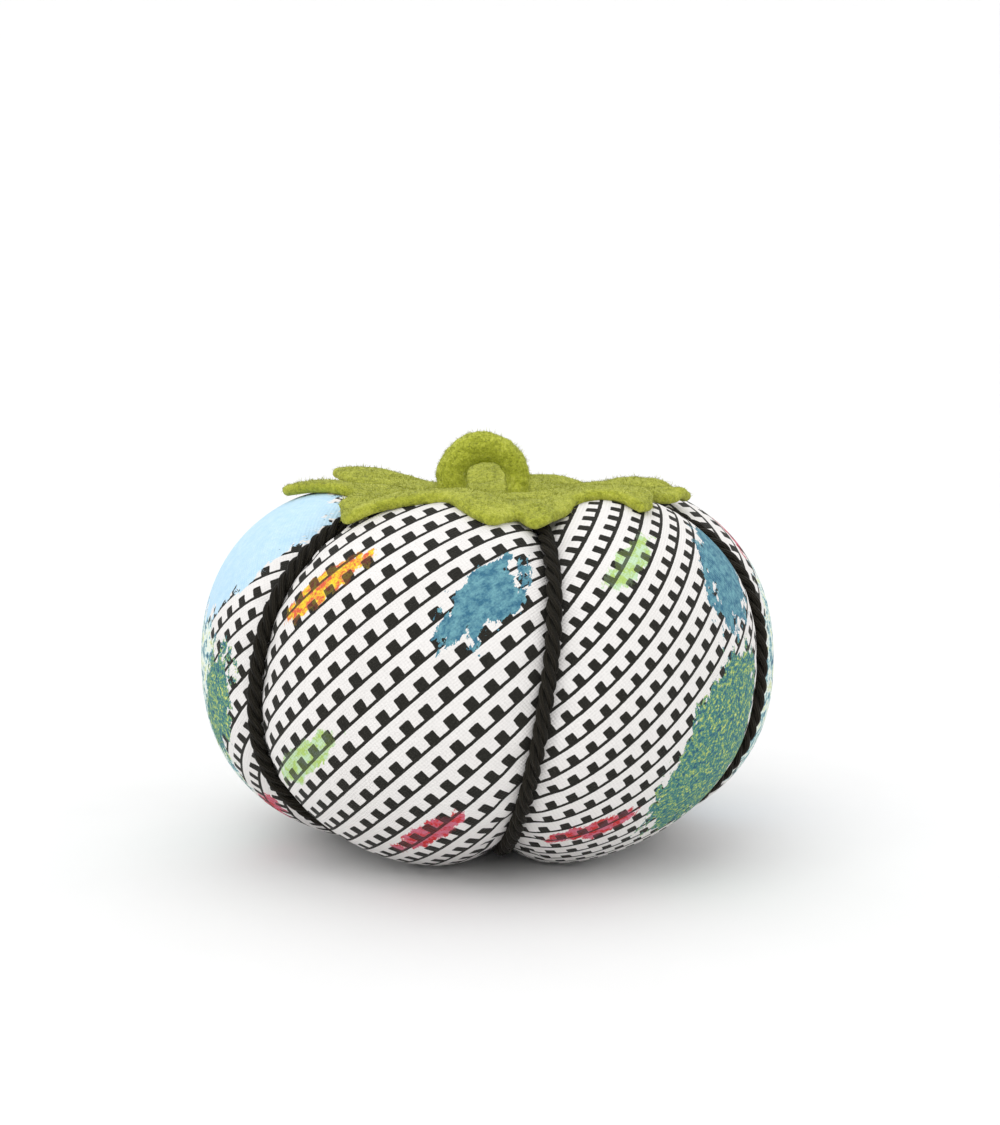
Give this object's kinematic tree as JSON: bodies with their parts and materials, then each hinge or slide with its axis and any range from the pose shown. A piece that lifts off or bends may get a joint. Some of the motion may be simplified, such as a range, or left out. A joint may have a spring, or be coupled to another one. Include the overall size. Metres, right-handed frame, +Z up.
{
  "type": "pin cushion",
  "caption": "Tomato-shaped stuffed pin cushion with a cord over each seam, a felt calyx and a bent felt loop as its stem.",
  "frame": {"origin": "middle of the footprint, on the surface that the cushion stands on", "axes": "+Z up through the stem, -Y towards the front, +X to the right seen from the front"},
  "size_m": [0.09, 0.0892, 0.0648],
  "materials": {
    "printed_cotton": "matte woven cotton with a black and coloured print",
    "black_cord": "twisted plies, slightly soft sheen",
    "filling": "loose fibre",
    "green_felt": "fuzzy felt",
    "dark_felt": "fuzzy felt",
    "black_thread": "matte thread"
  },
  "bodies": {
    "root": {"cover_panel_1": "printed_cotton", "cover_panel_2": "printed_cotton", "cover_panel_3": "printed_cotton", "cover_panel_4": "printed_cotton", "cover_panel_5": "printed_cotton", "cover_panel_6": "printed_cotton", "seam_cord_1": "black_cord", "seam_cord_2": "black_cord", "seam_cord_3": "black_cord", "seam_cord_4": "black_cord", "seam_cord_5": "black_cord", "seam_cord_6": "black_cord", "stuffing": "filling", "calyx": "green_felt", "stem_loop": "green_felt", "tie_thread": "black_thread", "tie_knots": "black_thread", "base_patch": "dark_felt", "base_patch_stitches": "black_thread"}
  },
  "joints": []
}
